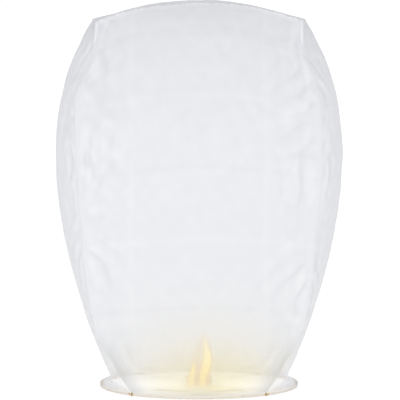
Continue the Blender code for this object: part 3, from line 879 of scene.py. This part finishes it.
def make_tongue(name, points, radii, thin, material):
    """A tongue of flame: a circle carried up a curved line, its radius going evenly from each of the
    radii to the next with the corners rounded, and flattened to thin times its width from front to
    back."""
    share = np.linspace(0, 1, 60)
    path = curve_through(points)(share)
    radius = np.interp(share, np.linspace(0, 1, len(radii)), radii)
    kernel = np.ones(7) / 7
    radius = np.convolve(np.pad(radius, 3, mode="edge"), kernel, mode="valid")
    p, faces = sweep(path, radius, sides=28)
    middle = np.concatenate([path[:1], path, path[-1:]])[:, None, 1]
    p[..., 1] = middle + (p[..., 1] - middle) * thin
    obj = out_facing(mesh_piece(name, p, faces, material, "fuel_cell"))
    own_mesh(obj)
    return obj


def make_flame():
    """Two tongues that rise before the fuel's front edge and lean back over it, each a mantle round
    a brighter heart, and one halo round both. Points are x, y and height."""
    top = FUEL_TOP + 0.4
    right = [(6, -31, 3), (9, -30, 26), (15, -24, 44), (16, -16, 58), (13, -8, 74), (10.5, -3, 92)]
    left = [(-15, -32, 3), (-14, -31, 22), (-11, -27, 33), (-9.5, -23, 42), (-11.5, -20, 49)]
    halo = [(1, 0, top), (3, 0, 28), (6, 0, 48), (9, 0, 68), (10, 0, 86), (9, 0, 104)]
    make_tongue("flame_glow", halo, [20, 21, 20, 16, 10, 0.6], 0.9, FLAME_HALO)
    make_tongue("flame_right", right, [12.5, 11.5, 11, 10, 6.5, 0.4], 0.3, FLAME_OUTER)
    make_tongue("flame_right_heart", right, [5.5, 6, 7.5, 7, 3.5, 0.3], 0.25, FLAME_INNER)
    make_tongue("flame_left", left, [10, 8.5, 6.5, 4, 0.4], 0.3, FLAME_OUTER)
    make_tongue("flame_left_heart", left, [5.5, 5.5, 4.2, 2.4, 0.3], 0.25, FLAME_INNER)


def make_camera():
    """A long lens at half the lantern's height, two and a half metres in front of it."""
    data = bpy.data.cameras.new("camera")
    data.lens, data.sensor_width = 118.17, 36.0  # millimetres
    data.clip_end = 200
    camera = new_object("camera", data)
    camera.location = (0.0019, -2.527, 0.356)
    camera.rotation_euler = (math.radians(90), 0, 0)
    bpy.context.scene.camera = camera


def make_table():
    """A white acrylic table that glows, so that it is white all over. It only fills what the eye
    sees: the room lights the paper from below, and the table neither tints nor shades it."""
    material, tree, output = new_material("white_acrylic_table")
    shader = add(tree, "BsdfPrincipled", {
        "Base Color": linear("#808080"), "Roughness": 0.9, "Specular IOR Level": 0.1,
        "Emission Color": (1, 1, 1, 1), "Emission Strength": 0.9})
    tree.links.new(shader.outputs[0], output.inputs["Surface"])
    reach, top = 60, -0.3 * MM  # just under the lowest wire
    mesh = bpy.data.meshes.new("table")
    corners = [(x * reach, y * reach, top) for x, y in ((-1, -1), (1, -1), (1, 1), (-1, 1))]
    mesh.from_pydata(corners, [], [(0, 1, 2, 3)])
    mesh.materials.append(material)
    table = new_object("table", mesh)
    table.visible_diffuse = table.visible_shadow = False


def make_room():
    """The room, as a colour for each way one can look: white at the horizon, grey below, dark
    overhead, with a dark panel in each of the four corners, and half as bright behind the lantern."""
    world = bpy.data.worlds.new("white_room")
    bpy.context.scene.world = world
    world.use_nodes = True
    tree = world.node_tree
    tree.nodes.clear()
    way = add(tree, "TexCoord").outputs["Generated"]
    parts = add(tree, "SeparateXYZ", {0: way}).outputs
    squares = add(tree, "VectorMath", {0: way, 1: way}, operation="MULTIPLY")
    squared = add(tree, "SeparateXYZ", {0: squares.outputs[0]}).outputs
    corner = add(tree, "Math", {0: squared["X"], 1: squared["Y"]}, operation="MULTIPLY")
    panel = add(tree, "Math", {0: corner.outputs[0], 1: 4.0}, operation="MULTIPLY", use_clamp=True)
    height = add(tree, "MapRange", {0: parts["Z"], 1: -1.0, 2: 1.0})
    walls = ramp(tree, height.outputs[0], (
        (0.0, "#AEAFB2"), (0.46, "#B5B6B9"), (0.5, "#FEFEFF"), (0.64, "#F4F4F6"), (0.85, "#66676B")))
    room = add(tree, "Mix", {0: panel.outputs[0], 6: walls, 7: linear("#505256")}, data_type="RGBA")
    behind = add(tree, "MapRange", {0: parts["Y"], 1: 0.6, 2: 0.95, 3: 2.11, 4: 1.17})
    back = add(tree, "Background", {"Color": room.outputs[2], "Strength": behind.outputs[0]})
    add(tree, "OutputWorld", {"Surface": back.outputs[0]})
    bpy.context.scene.view_settings.view_transform = "Standard"


def make_lights():
    """One large soft light in front, and the flame's own light, which rides on the fuel."""
    data = bpy.data.lights.new("front_softbox", "AREA")
    data.shape, data.size, data.size_y, data.energy = "RECTANGLE", 2.0, 1.8, 25
    softbox = new_object("front_softbox", data)
    place, target = Vector((-0.1, -3.2, 0.5)), Vector((0, 0, 0.3))
    softbox.location = place
    softbox.rotation_euler = (target - place).to_track_quat("-Z", "Y").to_euler()
    softbox.visible_camera = False

    data = bpy.data.lights.new("flame_light", "POINT")
    data.energy, data.color, data.shadow_soft_size = 0.06, linear("#FFC46B")[:3], 0.02
    light = new_object("flame_light", data)
    light.location = FLAME_HEART * MM
    light.parent = frame["bodies"]["fuel_cell"]


make_camera()
make_bamboo()
for side in SIDES:
    make_gore(side)
make_crown()
for number, offset in ((1, -5.5), (2, 5.5)):
    make_tape(number, 180 + offset)
make_cross_wire("cross_wire_lower", WIRE_AZIMUTH, 0)
make_cross_wire("cross_wire_upper", -WIRE_AZIMUTH, WIRE_RISE)
make_tie()
for number in range(1, FUEL_LAYERS + 1):
    make_fuel_layer(number)
make_flame()
make_table()
make_room()
make_lights()
